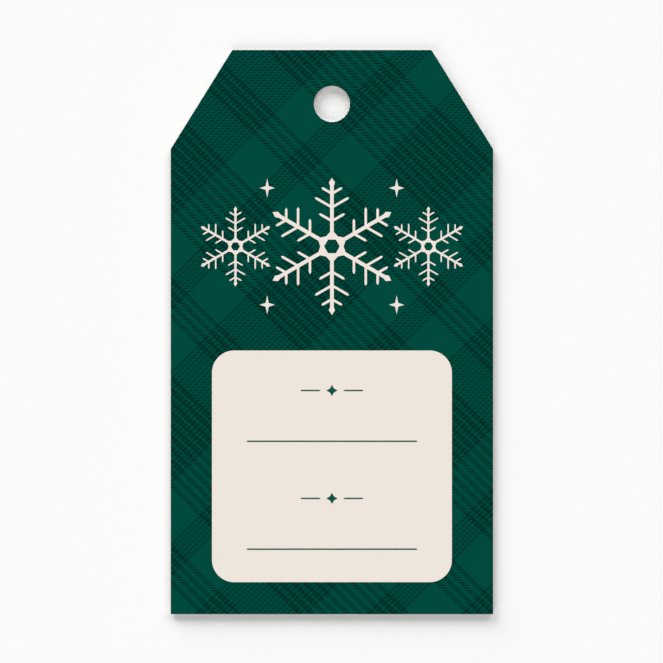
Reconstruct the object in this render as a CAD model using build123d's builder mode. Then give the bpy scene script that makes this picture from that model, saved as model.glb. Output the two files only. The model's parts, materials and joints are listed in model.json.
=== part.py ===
from build123d import *
import os

# Gift tag: two sheets of card glued back to back, printed on the front and die-cut as one.
# Millimetres. The tag lies face up with its back on Z = 0 and the middle of its outline on
# the Z axis. +Y runs to the clipped head with the string hole, and +X to the reader's right.

# Outline that the cutting die gives the whole stack
tag_width = 50.8
tag_length = 88.9
clip_width = 9.7
clip_length = 15.6
hole_diameter = 5.7
hole_from_head = 8.5

# Writing panel, left free by the printed ground
panel_width = 37.8
panel_height = 36.5
panel_corner_radius = 3.5
panel_from_foot = 5.05

# Layers of the stack
sheet_thickness = 0.38
glue_thickness = 0.03
print_thickness = 0.02

half_width = tag_width / 2
half_length = tag_length / 2
hole_y = half_length - hole_from_head
panel_y = panel_from_foot + panel_height / 2 - half_length

# Heights at which the layers start, from the back up
glue_z = sheet_thickness
front_z = glue_z + glue_thickness
print_z = front_z + sheet_thickness

# One die cuts every layer: square at the foot, clipped at the head, punched for the string
with BuildSketch() as die_cut:
    with BuildLine():
        Polyline(
            (0, -half_length),
            (half_width, -half_length),
            (half_width, half_length - clip_length),
            (half_width - clip_width, half_length),
            (0, half_length),
        )
        mirror(about=Plane.YZ)
    make_face()
    with Locations((0, hole_y)):
        Circle(hole_diameter / 2, mode=Mode.SUBTRACT)

# The panel's rounded edge, which the ground stops at and the panel's coat fills
with BuildSketch() as panel_edge:
    with Locations((0, panel_y)):
        RectangleRounded(panel_width, panel_height, panel_corner_radius)

# Plain card that lies against the parcel
with BuildPart() as back_sheet:
    with BuildSketch():
        add(die_cut.sketch)
    extrude(amount=sheet_thickness)

# Dried film that joins the two sheets over their whole faces
with BuildPart() as glue_film:
    with BuildSketch(Plane.XY.offset(glue_z)):
        add(die_cut.sketch)
    extrude(amount=glue_thickness)

# Card that carries the print
with BuildPart() as front_sheet:
    with BuildSketch(Plane.XY.offset(front_z)):
        add(die_cut.sketch)
    extrude(amount=sheet_thickness)

# Coloured coat over the front, with a window for the panel
with BuildPart() as ground_print:
    with BuildSketch(Plane.XY.offset(print_z)):
        add(die_cut.sketch)
        add(panel_edge.sketch, mode=Mode.SUBTRACT)
    extrude(amount=print_thickness)

# Pale coat that fills the window, level with the ground
with BuildPart() as panel_print:
    with BuildSketch(Plane.XY.offset(print_z)):
        add(panel_edge.sketch)
    extrude(amount=print_thickness)

layers = {
    "back_sheet": back_sheet,
    "glue_film": glue_film,
    "front_sheet": front_sheet,
    "ground_print": ground_print,
    "panel_print": panel_print,
}

os.makedirs("parts", exist_ok=True)
for name, layer in layers.items():
    layer.part.label = name
    export_step(layer.part, f"parts/{name}.step")
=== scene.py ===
"""Dresses a die-cut card gift tag: its card, its printed tartan, its ornament and a plain studio."""

import json
import math
from collections import namedtuple

import bmesh
import bpy
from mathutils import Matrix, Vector


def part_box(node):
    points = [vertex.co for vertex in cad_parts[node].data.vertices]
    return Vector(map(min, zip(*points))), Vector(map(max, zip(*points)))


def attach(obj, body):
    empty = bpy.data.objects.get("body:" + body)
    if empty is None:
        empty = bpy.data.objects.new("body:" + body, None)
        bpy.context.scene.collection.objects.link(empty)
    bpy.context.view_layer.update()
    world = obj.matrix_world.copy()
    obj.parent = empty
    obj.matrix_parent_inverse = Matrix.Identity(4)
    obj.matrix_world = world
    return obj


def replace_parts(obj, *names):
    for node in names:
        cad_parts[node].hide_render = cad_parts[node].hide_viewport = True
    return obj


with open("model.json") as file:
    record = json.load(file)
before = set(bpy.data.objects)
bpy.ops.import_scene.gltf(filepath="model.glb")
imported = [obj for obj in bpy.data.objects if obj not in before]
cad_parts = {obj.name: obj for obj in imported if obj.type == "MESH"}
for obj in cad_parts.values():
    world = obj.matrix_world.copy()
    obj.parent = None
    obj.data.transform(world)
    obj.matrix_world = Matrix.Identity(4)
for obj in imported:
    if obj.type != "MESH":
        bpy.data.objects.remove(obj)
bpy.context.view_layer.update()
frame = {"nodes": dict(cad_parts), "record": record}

bl_info = {
    "name": "Gift Tag",
    "version": (1, 0, 0),
    "blender": (4, 5, 0),
    "location": "View3D > Sidebar > Gift Tag",
    "description": "Dresses a die-cut card gift tag and sets it on a plain pale floor",
    "category": "Object",
}

MM = 0.001

# Points of the frame that differ by less than this are level with each other
SAME_LEVEL = 0.001 * MM

# Faces that meet at more than this make a sharp edge
CREASE = math.radians(30)


def srgb(text):
    """A hex colour such as #004A3D as linear red, green and blue."""
    channels = [int(text[i:i + 2], 16) / 255 for i in (1, 3, 5)]
    return tuple(c / 12.92 if c <= 0.04045 else ((c + 0.055) / 1.055) ** 2.4 for c in channels)


def reach(node, along, beside):
    """How far a CAD node goes along one axis where it is widest on another."""
    points = [v.co for v in frame["nodes"][node].data.vertices]
    widest = max(p[beside] for p in points)
    return max(p[along] for p in points if p[beside] > widest - SAME_LEVEL)


# Places and sizes that the frame gives, in metres
back_low, back_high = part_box("back_sheet")
front_low, front_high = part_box("front_sheet")
ground_low, ground_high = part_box("ground_print")
panel_low, panel_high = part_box("panel_print")
shoulder_y = reach("front_sheet", along=1, beside=0)
head_x = reach("front_sheet", along=0, beside=1)
panel_radius = panel_high.y - reach("panel_print", along=1, beside=0)
string_hole = next(m for m in frame["record"]["mounts"] if m["name"] == "string_hole")
hole_centre = Vector(string_hole["pos_m"][:2])
hole_radius = string_hole["dims"]["r_mm"] * MM
print_top = ground_high.z

# The tartan's sett, in millimetres from the middle of the tag, measured square to the threads.
# Both sets have the same slope and repeat over the same distance: rising threads climb to the
# right, falling threads drop to the right. A band is its middle and its count of threads.
THREAD_SLOPE = math.radians(45)
Band = namedtuple("Band", "middle count")
ThreadSet = namedtuple("ThreadSet", "pitch width bands")
RISING = ThreadSet(pitch=0.672, width=0.41, bands=(Band(-7.30, 19), Band(7.50, 6)))
FALLING = ThreadSet(pitch=1.318, width=0.745, bands=(Band(0.74, 10), Band(-14.085, 4)))

# A flake's parts, as shares of its radius: arms that meet in notches round an open eye, each a
# straight stem with twigs in pairs and a pointed bud. A twig is its root along the arm and its length.
Twig = namedtuple("Twig", "root length")
FLAKE_ARMS = 6
FLAKE_EYE = 0.115
FLAKE_NOTCH = 0.17
STEM_START = 0.2125
STEM_WIDTH = 0.054
TWIGS = (Twig(0.37, 0.19), Twig(0.57, 0.26), Twig(0.77, 0.15))
TWIG_SLOPE = math.radians(60)
TWIG_WIDTH = 0.036
TWIG_POINT = 0.0288
BUD_START = 0.883
BUD_MIDDLE = 0.9325
BUD_WIDTH = 0.09

# Stars and marks: a star's width beside its height, and the waist between the rays of each
STAR_WIDTH = 0.8
STAR_WAIST = 0.28
MARK_WAIST = 0.5

# The ground's bake map, as shares of its side: the gap round a column, and the strip at its foot
# for the faces that don't look up. A face looks up where its normal rises by more than the last value.
MAP_GAP = 0.004
MAP_STRIP = 0.03
FACING_UP = 0.1

# Tooth of a surface: its grain and height in millimetres, and the roughness on its tops and in its
# hollows. Real card has a tooth of about 0.1 mm, which is too fine to show, so the tooth of the card
# and of the print on it is drawn two to four times as coarse.
Tooth = namedtuple("Tooth", "grain height smooth dull")
CARD_TOOTH = Tooth(grain=0.2, height=0.008, smooth=0.85, dull=0.95)
TONER_TOOTH = Tooth(grain=0.35, height=0.004, smooth=0.55, dull=0.7)
GLUE_BEADS = Tooth(grain=0.7, height=0.01, smooth=0.35, dull=0.5)

# Fibres of the card, in millimetres. Real ones are about 0.03 mm thick, too fine to show on a cut
# edge, so their layers are drawn twice as thick.
FIBRE_LENGTH = 0.8
FIBRE_LAYER = 0.06

# How far a finish strays from its colour: the factors at its darkest and at its palest
Mottle = namedtuple("Mottle", "dark pale")
TARTAN_MOTTLE = Mottle(0.94, 1.06)
PLAIN_MOTTLE = Mottle(0.985, 1.015)
FIBRE_MOTTLE = Mottle(0.94, 1.02)
GLUE_MOTTLE = Mottle(0.85, 1.1)

# A noise texture seldom leaves this middle range
NOISE_LOW = 0.3
NOISE_HIGH = 0.7

# Broad lamps, one past each corner of the tag: its share of the light on a level face, its height
# over the floor and its turn from the head towards the left, in degrees. The sky gives the rest.
Lamp = namedtuple("Lamp", "name share height turn")
LAMPS = (
    Lamp("head_left_light", share=0.35, height=22, turn=30),
    Lamp("head_right_light", share=0.25, height=35, turn=-30),
    Lamp("foot_left_light", share=0.19, height=35, turn=150),
    Lamp("foot_right_light", share=0.11, height=35, turn=-150),
)

# The round floor, and how near the camera starts to see, in metres
FLOOR_RADIUS = 8.0
FLOOR_SIDES = 64
NEAREST_SEEN = 0.01


class TagCardSettings(bpy.types.PropertyGroup):
    """Sheets of card and the glue between them"""
    card_colour: bpy.props.FloatVectorProperty(
        name="Card", description="White of the uncoated card",
        subtype="COLOR", size=3, min=0, max=1, default=srgb("#F3F0EA"))
    glue_colour: bpy.props.FloatVectorProperty(
        name="Glue", description="Dried adhesive in the seam between the sheets",
        subtype="COLOR", size=3, min=0, max=1, default=srgb("#DDD3B8"))
    # Cut edges drawn darker than the faces: partly the grey of open fibre ends, partly painted shade
    edge_shade: bpy.props.FloatProperty(
        name="Edge shade", description="Brightness of a cut edge beside that of the card's faces",
        subtype="FACTOR", min=0, max=1, default=0.66)
    roll_over: bpy.props.FloatProperty(
        name="Roll-over", description="Radius that the cutting die leaves along the front edges",
        unit="LENGTH", default=0.06 * MM)
    worn_edge: bpy.props.FloatProperty(
        name="Back edge", description="Small radius along the edges of the back",
        unit="LENGTH", default=0.03 * MM)


class TagCoatSettings(bpy.types.PropertyGroup):
    """Printed coats, the tartan's repeat and the rows that break it into a twill"""
    ground_colour: bpy.props.FloatVectorProperty(
        name="Ground", description="Plain green between the tartan's bands",
        subtype="COLOR", size=3, min=0, max=1, default=srgb("#00493C"))
    thread_colour: bpy.props.FloatVectorProperty(
        name="Threads", description="Darker green of the tartan's threads",
        subtype="COLOR", size=3, min=0, max=1, default=srgb("#002E29"))
    cream_colour: bpy.props.FloatVectorProperty(
        name="Cream", description="Pale print of the panel and the ornament",
        subtype="COLOR", size=3, min=0, max=1, default=srgb("#EEE5DC"))
    repeat: bpy.props.FloatProperty(
        name="Repeat", description="Distance over which the tartan repeats, square to its threads",
        unit="LENGTH", default=29.677 * MM)
    row_pitch: bpy.props.FloatProperty(
        name="Row pitch", description="Height of one row of rising and one row of falling threads",
        unit="LENGTH", default=0.4197 * MM)
    row_cover: bpy.props.FloatProperty(
        name="Row cover", description="Share of the row pitch that each kind of row covers",
        subtype="FACTOR", min=0, max=1, default=0.54)
    row_middle: bpy.props.FloatProperty(
        name="Row middle", description="Height on the tag of the middle of one rising row",
        unit="LENGTH", default=0.158 * MM)
    ink_height: bpy.props.FloatProperty(
        name="Ink height", description="How far the ornament's print stands on the coats",
        unit="LENGTH", default=0.012 * MM)


class TagFlakeSettings(bpy.types.PropertyGroup):
    """Row of snowflakes and the small stars between them"""
    middle_y: bpy.props.FloatProperty(
        name="Height", description="Height on the tag of the row of flakes",
        unit="LENGTH", default=13.5 * MM)
    large_radius: bpy.props.FloatProperty(
        name="Large flake", description="Radius of the middle flake",
        unit="LENGTH", default=10.8 * MM)
    small_radius: bpy.props.FloatProperty(
        name="Small flakes", description="Radius of the flakes on each side",
        unit="LENGTH", default=6.3 * MM)
    spacing: bpy.props.FloatProperty(
        name="Spacing", description="From the middle flake to the flake on each side",
        unit="LENGTH", default=15.2 * MM)
    star_x: bpy.props.FloatProperty(
        name="Star X", description="From the middle of the tag to a small star",
        unit="LENGTH", default=10.2 * MM)
    star_y: bpy.props.FloatProperty(
        name="Star Y", description="From the row of flakes up or down to a small star",
        unit="LENGTH", default=9.2 * MM)
    star_reach: bpy.props.FloatProperty(
        name="Star size", description="From the middle of a small star to its upper ray's tip",
        unit="LENGTH", default=1.5 * MM)


class TagRuleSettings(bpy.types.PropertyGroup):
    """Writing lines and the small marks over them"""
    rule_length: bpy.props.FloatProperty(
        name="Length", description="Length of a writing line",
        unit="LENGTH", default=27.0 * MM)
    rule_width: bpy.props.FloatProperty(
        name="Width", description="Width of a writing line",
        unit="LENGTH", default=0.22 * MM)
    upper_y: bpy.props.FloatProperty(
        name="Upper line", description="Height on the tag of the upper writing line",
        unit="LENGTH", default=-17.2 * MM)
    lower_y: bpy.props.FloatProperty(
        name="Lower line", description="Height on the tag of the lower writing line",
        unit="LENGTH", default=-34.2 * MM)
    mark_rise: bpy.props.FloatProperty(
        name="Mark rise", description="From a writing line up to the small mark over it",
        unit="LENGTH", default=8.0 * MM)
    mark_reach: bpy.props.FloatProperty(
        name="Mark size", description="From the middle of a mark to its points",
        unit="LENGTH", default=0.9 * MM)
    dash_x: bpy.props.FloatProperty(
        name="Dash X", description="From a mark to the middle of the short dash on each side",
        unit="LENGTH", default=3.4 * MM)
    dash_length: bpy.props.FloatProperty(
        name="Dash length", description="Length of the short dashes beside a mark",
        unit="LENGTH", default=3.2 * MM)


class TagStageSettings(bpy.types.PropertyGroup):
    """Floor, lamps and camera"""
    floor_colour: bpy.props.FloatVectorProperty(
        name="Floor", description="Plain pale floor",
        subtype="COLOR", size=3, min=0, max=1, default=srgb("#FAFAFA"))
    floor_gap: bpy.props.FloatProperty(
        name="Floor gap", description="Air under a card that never lies quite flat",
        unit="LENGTH", default=0.3 * MM)
    lamp_spread: bpy.props.FloatProperty(
        name="Lamp spread", description="Width of each lamp as the tag sees it",
        subtype="ANGLE", default=math.radians(40))
    lens: bpy.props.FloatProperty(
        name="Lens", description="Focal length of the camera",
        subtype="DISTANCE_CAMERA", default=150)
    view_width: bpy.props.FloatProperty(
        name="View width", description="Width that the picture takes in at the printed face",
        unit="LENGTH", default=104.456 * MM)
    view_x: bpy.props.FloatProperty(
        name="View X", description="How far right of the tag's middle the camera stands",
        unit="LENGTH", default=-0.068 * MM)
    view_y: bpy.props.FloatProperty(
        name="View Y", description="How far the camera stands from the tag's middle towards the head",
        unit="LENGTH", default=0.092 * MM)


class TagSettings(bpy.types.PropertyGroup):
    """All that a user can change on the tag and its stage"""
    card: bpy.props.PointerProperty(
        name="Card", description="Sheets of card and their glue", type=TagCardSettings)
    coat: bpy.props.PointerProperty(
        name="Print", description="Printed coats and their tartan", type=TagCoatSettings)
    flakes: bpy.props.PointerProperty(
        name="Snowflakes", description="Snowflakes and small stars", type=TagFlakeSettings)
    rules: bpy.props.PointerProperty(
        name="Writing lines", description="Writing lines and their marks", type=TagRuleSettings)
    stage: bpy.props.PointerProperty(
        name="Studio", description="Floor, lamps and camera", type=TagStageSettings)


# Lines


def heading(turn):
    """A step of length 1 at an angle from +X."""
    return Vector((math.cos(turn), math.sin(turn)))


def left_of(step):
    """A step turned a quarter to its left."""
    return Vector((-step.y, step.x))


def die_line():
    """The tag's outline, anticlockwise from the foot's right corner."""
    half = [(ground_high.x, ground_low.y), (ground_high.x, shoulder_y), (head_x, ground_high.y)]
    return [Vector(p) for p in half] + [Vector((-x, y)) for x, y in reversed(half)]


def hole_line(segments=96):
    """The string hole, clockwise, so that the card lies on its left."""
    return [hole_centre + hole_radius * heading(-math.tau * i / segments) for i in range(segments)]


def panel_line(steps=16):
    """The panel's rounded edge, clockwise, so that the ground lies on its left."""
    middle = (panel_low.xy + panel_high.xy) / 2
    straight = (panel_high.xy - panel_low.xy) / 2 - Vector((panel_radius, panel_radius))
    line = []
    for quarter, (side_x, side_y) in enumerate(((1, 1), (1, -1), (-1, -1), (-1, 1))):
        corner = middle + Vector((side_x * straight.x, side_y * straight.y))
        for i in range(steps + 1):
            line.append(corner + panel_radius * heading(math.pi / 2 * (1 - quarter - i / steps)))
    return line


def flake_line(middle, radius):
    """A flake, anticlockwise. Each arm goes out on its right side and comes back on its left."""
    stem = STEM_WIDTH / 2
    slope = heading(TWIG_SLOPE)
    half = left_of(slope) * TWIG_WIDTH / 2
    side = [heading(math.pi / FLAKE_ARMS) * FLAKE_NOTCH, Vector((STEM_START, stem))]
    for twig in TWIGS:
        root = Vector((twig.root, 0))
        inner, outer = root + half, root - half
        side += [
            inner + slope * (stem - inner.y) / slope.y,
            inner + slope * twig.length,
            root + slope * (twig.length + TWIG_POINT),
            outer + slope * twig.length,
            outer + slope * (stem - outer.y) / slope.y,
        ]
    side += [Vector((BUD_START, stem)), Vector((BUD_MIDDLE, BUD_WIDTH / 2))]
    arm = [Vector((p.x, -p.y)) for p in side] + [Vector((1, 0))] + side[:0:-1]
    line = []
    for i in range(FLAKE_ARMS):
        ahead = heading(math.pi / 2 + math.tau * i / FLAKE_ARMS)
        line += [middle + radius * (ahead * p.x + left_of(ahead) * p.y) for p in arm]
    return line


def star_line(middle, reach_x, reach_y, waist, points=4):
    """A star of straight rays, anticlockwise, with its waist as a share of its reach."""
    line = []
    for i in range(2 * points):
        turn = math.pi * i / points
        share = waist if i % 2 else 1
        line.append(middle + share * Vector((reach_x * math.cos(turn), reach_y * math.sin(turn))))
    return line


def eye_line(middle, radius):
    """The six-sided eye of a flake, clockwise, so that the flake lies on its left."""
    eye = radius * FLAKE_EYE
    return star_line(middle, eye, eye, math.cos(math.pi / FLAKE_ARMS), FLAKE_ARMS)[::-1]


def rule_line(middle, length, width):
    """A straight printed line with pointed ends, anticlockwise."""
    tip = Vector((length / 2, 0))
    upper = Vector((length / 2 - width, width / 2))
    lower = Vector((upper.x, -upper.y))
    return [middle + p for p in (tip, upper, -lower, -tip, -upper, lower)]


def moved_left(line, distance):
    """A closed line moved to its left, with mitred corners."""
    moved = []
    for before, here, after in zip(line[-1:] + line[:-1], line, line[1:] + line[:1]):
        arriving = left_of((here - before).normalized())
        leaving = left_of((after - here).normalized())
        moved.append(here + (arriving + leaving) * distance / (1 + arriving.dot(leaving)))
    return moved


# Walls, each a profile of insets and heights from the underside up


def rolled(radius, low, high, steps=4):
    """Inset and height of a quarter round that starts upright at low and ends level at high."""
    turns = [math.pi / 2 * i / steps for i in range(steps + 1)]
    return [(radius * (1 - math.cos(t)), low + (high - low) * math.sin(t)) for t in turns]


def ink_wall(coat):
    """The upright edge of the ornament's print, which stands on the coats."""
    return [(0, print_top), (0, print_top + coat.ink_height)]


# Meshes


def add_walls(mesh, line, profile):
    """Adds the wall over a closed line and returns its lowest and highest ring of edges."""
    rings = []
    for inset, height in profile:
        rings.append([mesh.verts.new((p.x, p.y, height)) for p in moved_left(line, inset)])
    for low, high in zip(rings, rings[1:]):
        for i in range(len(line)):
            mesh.faces.new((low[i - 1], low[i], high[i], high[i - 1])).smooth = True
    ends = rings[0], rings[-1]
    return [[mesh.edges.get((ring[i - 1], ring[i])) for i in range(len(ring))] for ring in ends]


def add_plate(mesh, walls):
    """Adds a closed flat piece. Each wall is a line with the piece on its left, and its profile.
    The flat faces meet the walls at sharp edges, so that a rolled edge doesn't tilt the shading
    of the whole face."""
    ends = [add_walls(mesh, line, profile) for line, profile in walls]
    for side in (0, 1):
        rim = [edge for rings in ends for edge in rings[side]]
        bmesh.ops.triangle_fill(mesh, use_beauty=True, edges=rim)
        for edge in rim:
            edge.smooth = False
    bmesh.ops.recalc_face_normals(mesh, faces=mesh.faces)


def add_bake_map(mesh):
    """Lays the printed face out in two columns, one for each half of the tag's length, so that a
    map of it keeps the fine rows. The underside and upright walls share a strip at its foot."""
    split = (ground_low.y + ground_high.y) / 2
    whole = mesh.verts[:] + mesh.edges[:] + mesh.faces[:]
    bmesh.ops.bisect_plane(mesh, geom=whole, plane_co=(0, split, 0), plane_no=(0, 1, 0))
    layer = mesh.loops.layers.uv.new("OFBake")
    size = ground_high - ground_low
    for face in mesh.faces:
        upper = face.calc_center_median().y > split
        for loop in face.loops:
            across = (loop.vert.co.x - ground_low.x) / size.x
            if face.normal.z > FACING_UP:
                along = 2 * (loop.vert.co.y - (split if upper else ground_low.y)) / size.y
                column = 0 if upper else 0.5
                u = column + MAP_GAP + across * (0.5 - 2 * MAP_GAP)
                v = MAP_STRIP + along * (1 - MAP_STRIP - MAP_GAP)
            else:
                along = (loop.vert.co.y - ground_low.y) / size.y
                u, v = across, along * (MAP_STRIP - MAP_GAP)
            loop[layer].uv = u, v


def finish_piece(mesh, name, material):
    """Makes a bmesh into a piece that rides on the tag."""
    for edge in mesh.edges:
        if edge.calc_face_angle(0) > CREASE:
            edge.smooth = False
    data = bpy.data.meshes.new(name)
    mesh.to_mesh(data)
    mesh.free()
    data.materials.append(material)
    piece = bpy.data.objects.new(name, data)
    bpy.context.scene.collection.objects.link(piece)
    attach(piece, "root")
    return piece


def add_sheet(name, wall, material):
    """Makes a sheet of card with the same wall along its outline and its hole."""
    mesh = bmesh.new()
    add_plate(mesh, [(die_line(), wall), (hole_line(), wall)])
    return finish_piece(mesh, name, material)


def give_finish(node, material):
    """Gives a CAD node a finish in place of its packed one."""
    slots = frame["nodes"][node].data.materials
    slots.clear()
    slots.append(material)


# Materials


def set_inputs(node, inputs):
    """Sets a node's inputs. Each takes a value, or a link from a socket or a node's first output."""
    for key, value in inputs.items():
        source = value.outputs[0] if isinstance(value, bpy.types.Node) else value
        if isinstance(source, bpy.types.NodeSocket):
            node.id_data.links.new(source, node.inputs[key])
        else:
            node.inputs[key].default_value = source


def add_node(tree, kind, inputs=None, **settings):
    """Adds a node with its settings and its inputs."""
    node = tree.nodes.new(kind)
    for name, value in settings.items():
        setattr(node, name, value)
    set_inputs(node, inputs or {})
    return node


def new_material(name, surface):
    """A material with its tree and its Principled shader, on which the given inputs are set."""
    material = bpy.data.materials.new(name)
    material.use_nodes = True
    shader = material.node_tree.nodes["Principled BSDF"]
    set_inputs(shader, surface)
    return material, material.node_tree, shader


def millimetres(tree, turn=0.0):
    """The place on the tag in millimetres, turned about its middle."""
    place = add_node(tree, "ShaderNodeTexCoord").outputs["Object"]
    return add_node(tree, "ShaderNodeMapping", {
        "Vector": place, "Rotation": (0, 0, turn), "Scale": (1 / MM, 1 / MM, 1 / MM)})


def add_tooth(tree, shader, tooth):
    """Gives a surface its fine tooth, as bumps and as changes of roughness, and returns the tooth."""
    noise = add_node(tree, "ShaderNodeTexNoise", {
        "Vector": millimetres(tree), "Scale": 1 / tooth.grain, "Detail": 3.0, "Roughness": 0.6})
    bump = add_node(tree, "ShaderNodeBump", {
        "Height": noise, "Distance": tooth.height * MM, "Strength": 1.0})
    sheen = add_node(tree, "ShaderNodeMapRange", {
        "Value": noise, "From Min": NOISE_LOW, "From Max": NOISE_HIGH,
        "To Min": tooth.dull, "To Max": tooth.smooth})
    set_inputs(shader, {"Normal": bump, "Roughness": sheen})
    return noise


def thread_mask(tree, across, threads, repeat):
    """1 on the threads of one set and 0 between them. across is the distance square to them."""
    half_pitch = threads.pitch / 2
    masks = []
    for band in threads.bands:
        from_middle = add_node(tree, "ShaderNodeMath", {0: across, 1: band.middle}, operation="SUBTRACT")
        from_nearest = add_node(
            tree, "ShaderNodeMath", {0: from_middle, 1: repeat / 2, 2: -repeat / 2}, operation="WRAP")
        distance = add_node(tree, "ShaderNodeMath", {0: from_nearest}, operation="ABSOLUTE")
        inside = add_node(
            tree, "ShaderNodeMath", {0: distance, 1: band.count * half_pitch}, operation="LESS_THAN")
        # An odd count of threads has one on the band's middle, and an even count has a gap there
        shift = 0 if band.count % 2 else half_pitch
        shifted = add_node(tree, "ShaderNodeMath", {0: distance, 1: shift}, operation="ADD")
        off_thread = add_node(tree, "ShaderNodeMath", {0: shifted, 1: half_pitch}, operation="PINGPONG")
        on_thread = add_node(
            tree, "ShaderNodeMath", {0: off_thread, 1: threads.width / 2}, operation="LESS_THAN")
        masks.append(add_node(tree, "ShaderNodeMath", {0: inside, 1: on_thread}, operation="MULTIPLY"))
    return add_node(tree, "ShaderNodeMath", {0: masks[0], 1: masks[1]}, operation="MAXIMUM")


def tartan_colour(tree, coat):
    """The ground's green, with the darker threads broken into a twill: rising threads show in one
    row and falling threads in the next."""
    across = add_node(tree, "ShaderNodeSeparateXYZ", {0: millimetres(tree, THREAD_SLOPE)})
    upright = add_node(tree, "ShaderNodeSeparateXYZ", {0: millimetres(tree)})
    rising = thread_mask(tree, across.outputs["X"], RISING, coat.repeat / MM)
    falling = thread_mask(tree, across.outputs["Y"], FALLING, coat.repeat / MM)

    half_pitch = coat.row_pitch / MM / 2
    height = add_node(
        tree, "ShaderNodeMath", {0: upright.outputs["Y"], 1: coat.row_middle / MM}, operation="SUBTRACT")
    from_row = add_node(tree, "ShaderNodeMath", {0: height, 1: half_pitch}, operation="PINGPONG")
    rising_row = add_node(
        tree, "ShaderNodeMath", {0: from_row, 1: coat.row_cover * half_pitch}, operation="LESS_THAN")
    falling_row = add_node(
        tree, "ShaderNodeMath", {0: from_row, 1: (1 - coat.row_cover) * half_pitch},
        operation="GREATER_THAN")

    dashes = [
        add_node(tree, "ShaderNodeMath", {0: threads, 1: row}, operation="MULTIPLY")
        for threads, row in ((rising, rising_row), (falling, falling_row))]
    dark = add_node(tree, "ShaderNodeMath", {0: dashes[0], 1: dashes[1]}, operation="MAXIMUM")
    # A mix of colours has them at inputs 6 and 7 and its result at output 2
    return add_node(tree, "ShaderNodeMix", {
        0: dark, 6: (*coat.ground_colour, 1), 7: (*coat.thread_colour, 1)}, data_type="RGBA").outputs[2]


def tartan_toner(coat):
    """Dark green toner fused on card: a tone-on-tone tartan with the card's tooth under it. It is
    matt, and has so little gloss that the green stays deep."""
    material, tree, shader = new_material("green_toner_tartan", {"Specular IOR Level": 0.015})
    colour = tartan_colour(tree, coat)
    tooth = add_tooth(tree, shader, TONER_TOOTH)
    shade = add_node(tree, "ShaderNodeMapRange", {
        "Value": tooth, "To Min": TARTAN_MOTTLE.dark, "To Max": TARTAN_MOTTLE.pale})
    tinted = add_node(tree, "ShaderNodeHueSaturation", {"Value": shade, "Color": colour})
    set_inputs(shader, {"Base Color": tinted})
    return material


def plain_toner(name, colour):
    """Toner of one colour fused on card: matt and even, with the card's tooth under it."""
    material, tree, shader = new_material(name, {"Specular IOR Level": 0.2})
    tooth = add_tooth(tree, shader, TONER_TOOTH)
    shade = add_node(tree, "ShaderNodeMapRange", {
        "Value": tooth, "To Min": PLAIN_MOTTLE.dark, "To Max": PLAIN_MOTTLE.pale})
    tinted = add_node(tree, "ShaderNodeHueSaturation", {"Value": shade, "Color": (*colour, 1)})
    set_inputs(shader, {"Base Color": tinted})
    return material


def uncoated_card(card):
    """White uncoated card: a soft matt face, with fibres that lie flat and show as fine layers
    along its cut edges. The cut edges are drawn darker than the faces: partly the real grey of open
    fibre ends, partly painted shade that keeps lit edges from glaring white."""
    material, tree, shader = new_material("uncoated_white_card", {"Specular IOR Level": 0.25})
    add_tooth(tree, shader, CARD_TOOTH)
    layers = add_node(tree, "ShaderNodeMapping", {
        "Vector": millimetres(tree), "Scale": (1 / FIBRE_LENGTH, 1 / FIBRE_LENGTH, 1 / FIBRE_LAYER)})
    fibre = add_node(tree, "ShaderNodeTexNoise", {
        "Vector": layers, "Scale": 1.0, "Detail": 4.0, "Roughness": 0.65})
    mottled = add_node(tree, "ShaderNodeMapRange", {
        "Value": fibre, "From Min": NOISE_LOW, "From Max": NOISE_HIGH,
        "To Min": FIBRE_MOTTLE.dark, "To Max": FIBRE_MOTTLE.pale})
    # Upright faces are darkened: partly the cut edge's real grey, partly painted shade
    facing = add_node(tree, "ShaderNodeNewGeometry").outputs["True Normal"]
    rise = add_node(tree, "ShaderNodeSeparateXYZ", {0: facing}).outputs["Z"]
    level = add_node(tree, "ShaderNodeMath", {0: rise}, operation="ABSOLUTE")
    edge_grey_and_shade_factor = add_node(tree, "ShaderNodeMapRange", {
        "Value": level, "To Min": card.edge_shade, "To Max": 1.0})
    shade = add_node(tree, "ShaderNodeMath", {0: mottled, 1: edge_grey_and_shade_factor}, operation="MULTIPLY")
    tinted = add_node(tree, "ShaderNodeHueSaturation", {"Value": shade, "Color": (*card.card_colour, 1)})
    set_inputs(shader, {"Base Color": tinted})
    return material


def dried_glue(card):
    """Dried white glue: a thin yellowish line, a little glossier than the card beside it."""
    material, tree, shader = new_material("dried_white_glue", {"IOR": 1.47})
    beads = add_tooth(tree, shader, GLUE_BEADS)
    shade = add_node(tree, "ShaderNodeMapRange", {
        "Value": beads, "To Min": GLUE_MOTTLE.dark, "To Max": GLUE_MOTTLE.pale})
    tinted = add_node(tree, "ShaderNodeHueSaturation", {"Value": shade, "Color": (*card.glue_colour, 1)})
    set_inputs(shader, {"Base Color": tinted})
    return material


def floor_paint(stage):
    """Dead matt paint: no gloss, so that nothing but the tag's soft shadow shows on it."""
    material, *_ = new_material("matt_pale_floor", {
        "Base Color": (*stage.floor_colour, 1), "Roughness": 1.0, "Specular IOR Level": 0.0})
    return material


# Stage


def add_floor(stage):
    """Adds the plain round floor just under the tag."""
    bpy.ops.mesh.primitive_circle_add(vertices=FLOOR_SIDES, radius=FLOOR_RADIUS, fill_type="NGON")
    floor = bpy.context.object
    floor.name = "floor"
    floor.location.z = back_low.z - stage.floor_gap
    floor.data.materials.append(floor_paint(stage))


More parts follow.
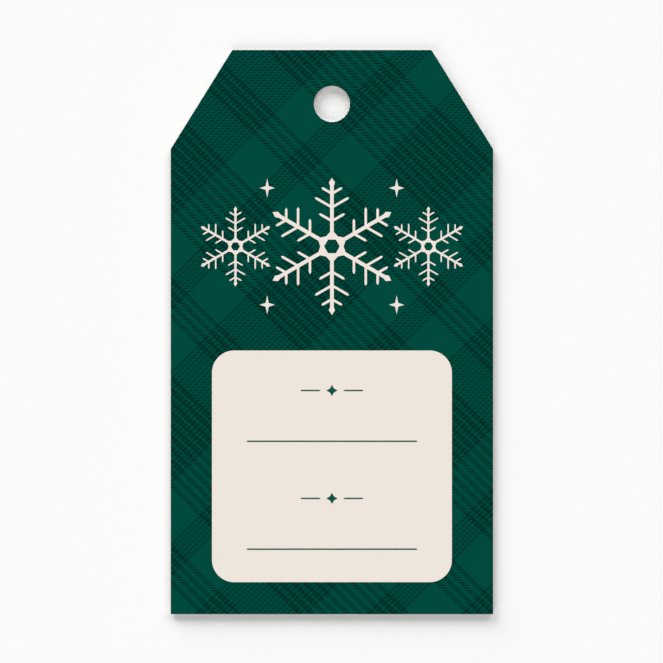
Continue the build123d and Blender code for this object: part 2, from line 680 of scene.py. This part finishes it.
def add_lamp(lamp, spread):
    """Adds a broad lamp. Some stand low, so none is seen in reflections, where it would only glare
    on the matt print."""
    height, turn = math.radians(lamp.height), math.radians(lamp.turn)
    light = bpy.data.lights.new(lamp.name, "SUN")
    light.energy = lamp.share * math.pi / math.sin(height)
    light.angle = spread
    level = math.cos(height)
    towards = Vector((-level * math.sin(turn), level * math.cos(turn), math.sin(height)))
    sun = bpy.data.objects.new(lamp.name, light)
    sun.rotation_euler = towards.to_track_quat("Z", "Y").to_euler()
    sun.visible_glossy = False
    bpy.context.scene.collection.objects.link(sun)


def add_sky(stage):
    """Adds the white sky, which is seen directly and in gloss as more of the pale floor."""
    world = bpy.data.worlds.new("studio")
    world.use_nodes = True
    bpy.context.scene.world = world
    tree = world.node_tree
    sky = tree.nodes["Background"]
    set_inputs(sky, {"Color": (1, 1, 1, 1), "Strength": 1 - sum(lamp.share for lamp in LAMPS)})
    seen = add_node(tree, "ShaderNodeBackground", {"Color": (*stage.floor_colour, 1), "Strength": 1.0})
    path = add_node(tree, "ShaderNodeLightPath")
    direct = path.outputs["Is Camera Ray"]
    for ray in ("Is Glossy Ray", "Is Transmission Ray"):
        direct = add_node(tree, "ShaderNodeMath", {0: direct, 1: path.outputs[ray]}, operation="MAXIMUM")
    mixed = add_node(tree, "ShaderNodeMixShader", {0: direct, 1: sky, 2: seen})
    set_inputs(tree.nodes["World Output"], {"Surface": mixed})


def add_camera(stage):
    """Adds the camera, which looks straight down on the printed face."""
    camera = bpy.data.objects.new("camera", bpy.data.cameras.new("camera"))
    camera.data.lens = stage.lens
    camera.data.clip_start = NEAREST_SEEN
    away = stage.view_width * stage.lens / camera.data.sensor_width
    camera.location = (stage.view_x, stage.view_y, print_top + away)
    bpy.context.scene.collection.objects.link(camera)
    bpy.context.scene.camera = camera


# Operators


class TAG_OT_card(bpy.types.Operator):
    """Makes the two sheets of card and finishes the glue between them"""
    bl_idname = "gift_tag.card"
    bl_label = "Card Sheets"

    def execute(self, context):
        card = context.scene.gift_tag.card
        white = uncoated_card(card)
        roll, worn = card.roll_over, card.worn_edge
        front_wall = [(0, front_low.z)] + rolled(roll, front_high.z - roll, front_high.z)
        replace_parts(add_sheet("front_card", front_wall, white), "front_sheet")
        back_wall = rolled(worn, back_low.z + worn, back_low.z)[::-1] + [(0, back_high.z)]
        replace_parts(add_sheet("back_card", back_wall, white), "back_sheet")
        give_finish("glue_film", dried_glue(card))
        return {"FINISHED"}


class TAG_OT_ground(bpy.types.Operator):
    """Makes the green coat with its tartan, which follows the card over its rolled edges"""
    bl_idname = "gift_tag.ground"
    bl_label = "Tartan Ground"

    def execute(self, context):
        settings = context.scene.gift_tag
        roll = settings.card.roll_over
        start = ground_low.z - roll
        # The coat thins to nothing where the roll-over starts
        under = rolled(roll, start, ground_low.z)[:0:-1]
        cut_wall = under + rolled(roll, start, ground_high.z)
        panel_wall = [(0, ground_low.z), (0, ground_high.z)]
        mesh = bmesh.new()
        add_plate(mesh, [(die_line(), cut_wall), (hole_line(), cut_wall), (panel_line(), panel_wall)])
        add_bake_map(mesh)
        ground = finish_piece(mesh, "tartan_ground", tartan_toner(settings.coat))
        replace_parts(ground, "ground_print")
        return {"FINISHED"}


class TAG_OT_panel(bpy.types.Operator):
    """Finishes the pale coat of the writing panel"""
    bl_idname = "gift_tag.panel"
    bl_label = "Writing Panel"

    def execute(self, context):
        coat = context.scene.gift_tag.coat
        give_finish("panel_print", plain_toner("cream_toner_panel", coat.cream_colour))
        return {"FINISHED"}


class TAG_OT_flakes(bpy.types.Operator):
    """Makes the row of snowflakes and the small stars between them"""
    bl_idname = "gift_tag.flakes"
    bl_label = "Snowflakes"

    def execute(self, context):
        settings = context.scene.gift_tag
        flakes = settings.flakes
        cream = plain_toner("cream_toner_flakes", settings.coat.cream_colour)
        wall = ink_wall(settings.coat)
        row = (
            ("flake_left", -flakes.spacing, flakes.small_radius),
            ("flake_middle", 0, flakes.large_radius),
            ("flake_right", flakes.spacing, flakes.small_radius),
        )
        for name, middle_x, radius in row:
            middle = Vector((middle_x, flakes.middle_y))
            mesh = bmesh.new()
            add_plate(mesh, [(flake_line(middle, radius), wall), (eye_line(middle, radius), wall)])
            finish_piece(mesh, name, cream)
        mesh = bmesh.new()
        for side_x in (-1, 1):
            for side_y in (-1, 1):
                middle = Vector((side_x * flakes.star_x, flakes.middle_y + side_y * flakes.star_y))
                star = star_line(middle, STAR_WIDTH * flakes.star_reach, flakes.star_reach, STAR_WAIST)
                add_plate(mesh, [(star, wall)])
        finish_piece(mesh, "small_stars", cream)
        return {"FINISHED"}


class TAG_OT_rules(bpy.types.Operator):
    """Makes the two writing lines and the small marks over them"""
    bl_idname = "gift_tag.rules"
    bl_label = "Writing Lines"

    def execute(self, context):
        settings = context.scene.gift_tag
        rules = settings.rules
        wall = ink_wall(settings.coat)
        mesh = bmesh.new()
        for line_y in (rules.upper_y, rules.lower_y):
            middle = Vector((0, line_y))
            add_plate(mesh, [(rule_line(middle, rules.rule_length, rules.rule_width), wall)])
            middle.y += rules.mark_rise
            add_plate(mesh, [(star_line(middle, rules.mark_reach, rules.mark_reach, MARK_WAIST), wall)])
            for side in (-1, 1):
                dash = middle + Vector((side * rules.dash_x, 0))
                add_plate(mesh, [(rule_line(dash, rules.dash_length, rules.rule_width), wall)])
        green = plain_toner("green_toner_lines", settings.coat.ground_colour)
        finish_piece(mesh, "writing_lines", green)
        return {"FINISHED"}


class TAG_OT_stage(bpy.types.Operator):
    """Sets up the floor, the light and the camera"""
    bl_idname = "gift_tag.stage"
    bl_label = "Studio"

    def execute(self, context):
        stage = context.scene.gift_tag.stage
        add_floor(stage)
        for lamp in LAMPS:
            add_lamp(lamp, stage.lamp_spread)
        add_sky(stage)
        add_camera(stage)
        context.scene.view_settings.view_transform = "Standard"
        return {"FINISHED"}


class TAG_PT_sidebar(bpy.types.Panel):
    """Lists the settings, and the operators that make the tag's pieces and the stage"""
    bl_idname = "TAG_PT_sidebar"
    bl_label = "Gift Tag"
    bl_space_type = "VIEW_3D"
    bl_region_type = "UI"
    bl_category = "Gift Tag"

    def draw(self, context):
        settings = context.scene.gift_tag
        for group_name in TagSettings.__annotations__:
            group = getattr(settings, group_name)
            box = self.layout.box()
            box.label(text=settings.bl_rna.properties[group_name].name)
            for name in type(group).__annotations__:
                box.prop(group, name)
        for operator in OPERATORS:
            self.layout.operator(operator.bl_idname)


OPERATORS = (TAG_OT_card, TAG_OT_ground, TAG_OT_panel, TAG_OT_flakes, TAG_OT_rules, TAG_OT_stage)
SETTINGS = (
    TagCardSettings, TagCoatSettings, TagFlakeSettings, TagRuleSettings, TagStageSettings, TagSettings)
CLASSES = SETTINGS + OPERATORS + (TAG_PT_sidebar,)


def register():
    for cls in CLASSES:
        bpy.utils.register_class(cls)
    bpy.types.Scene.gift_tag = bpy.props.PointerProperty(
        name="Gift tag", description="Settings of the gift tag and its stage", type=TagSettings)


def unregister():
    del bpy.types.Scene.gift_tag
    for cls in reversed(CLASSES):
        bpy.utils.unregister_class(cls)


def main():
    register()
    bpy.ops.gift_tag.card()
    bpy.ops.gift_tag.ground()
    bpy.ops.gift_tag.panel()
    bpy.ops.gift_tag.flakes()
    bpy.ops.gift_tag.rules()
    bpy.ops.gift_tag.stage()


if __name__ == "__main__":
    main()
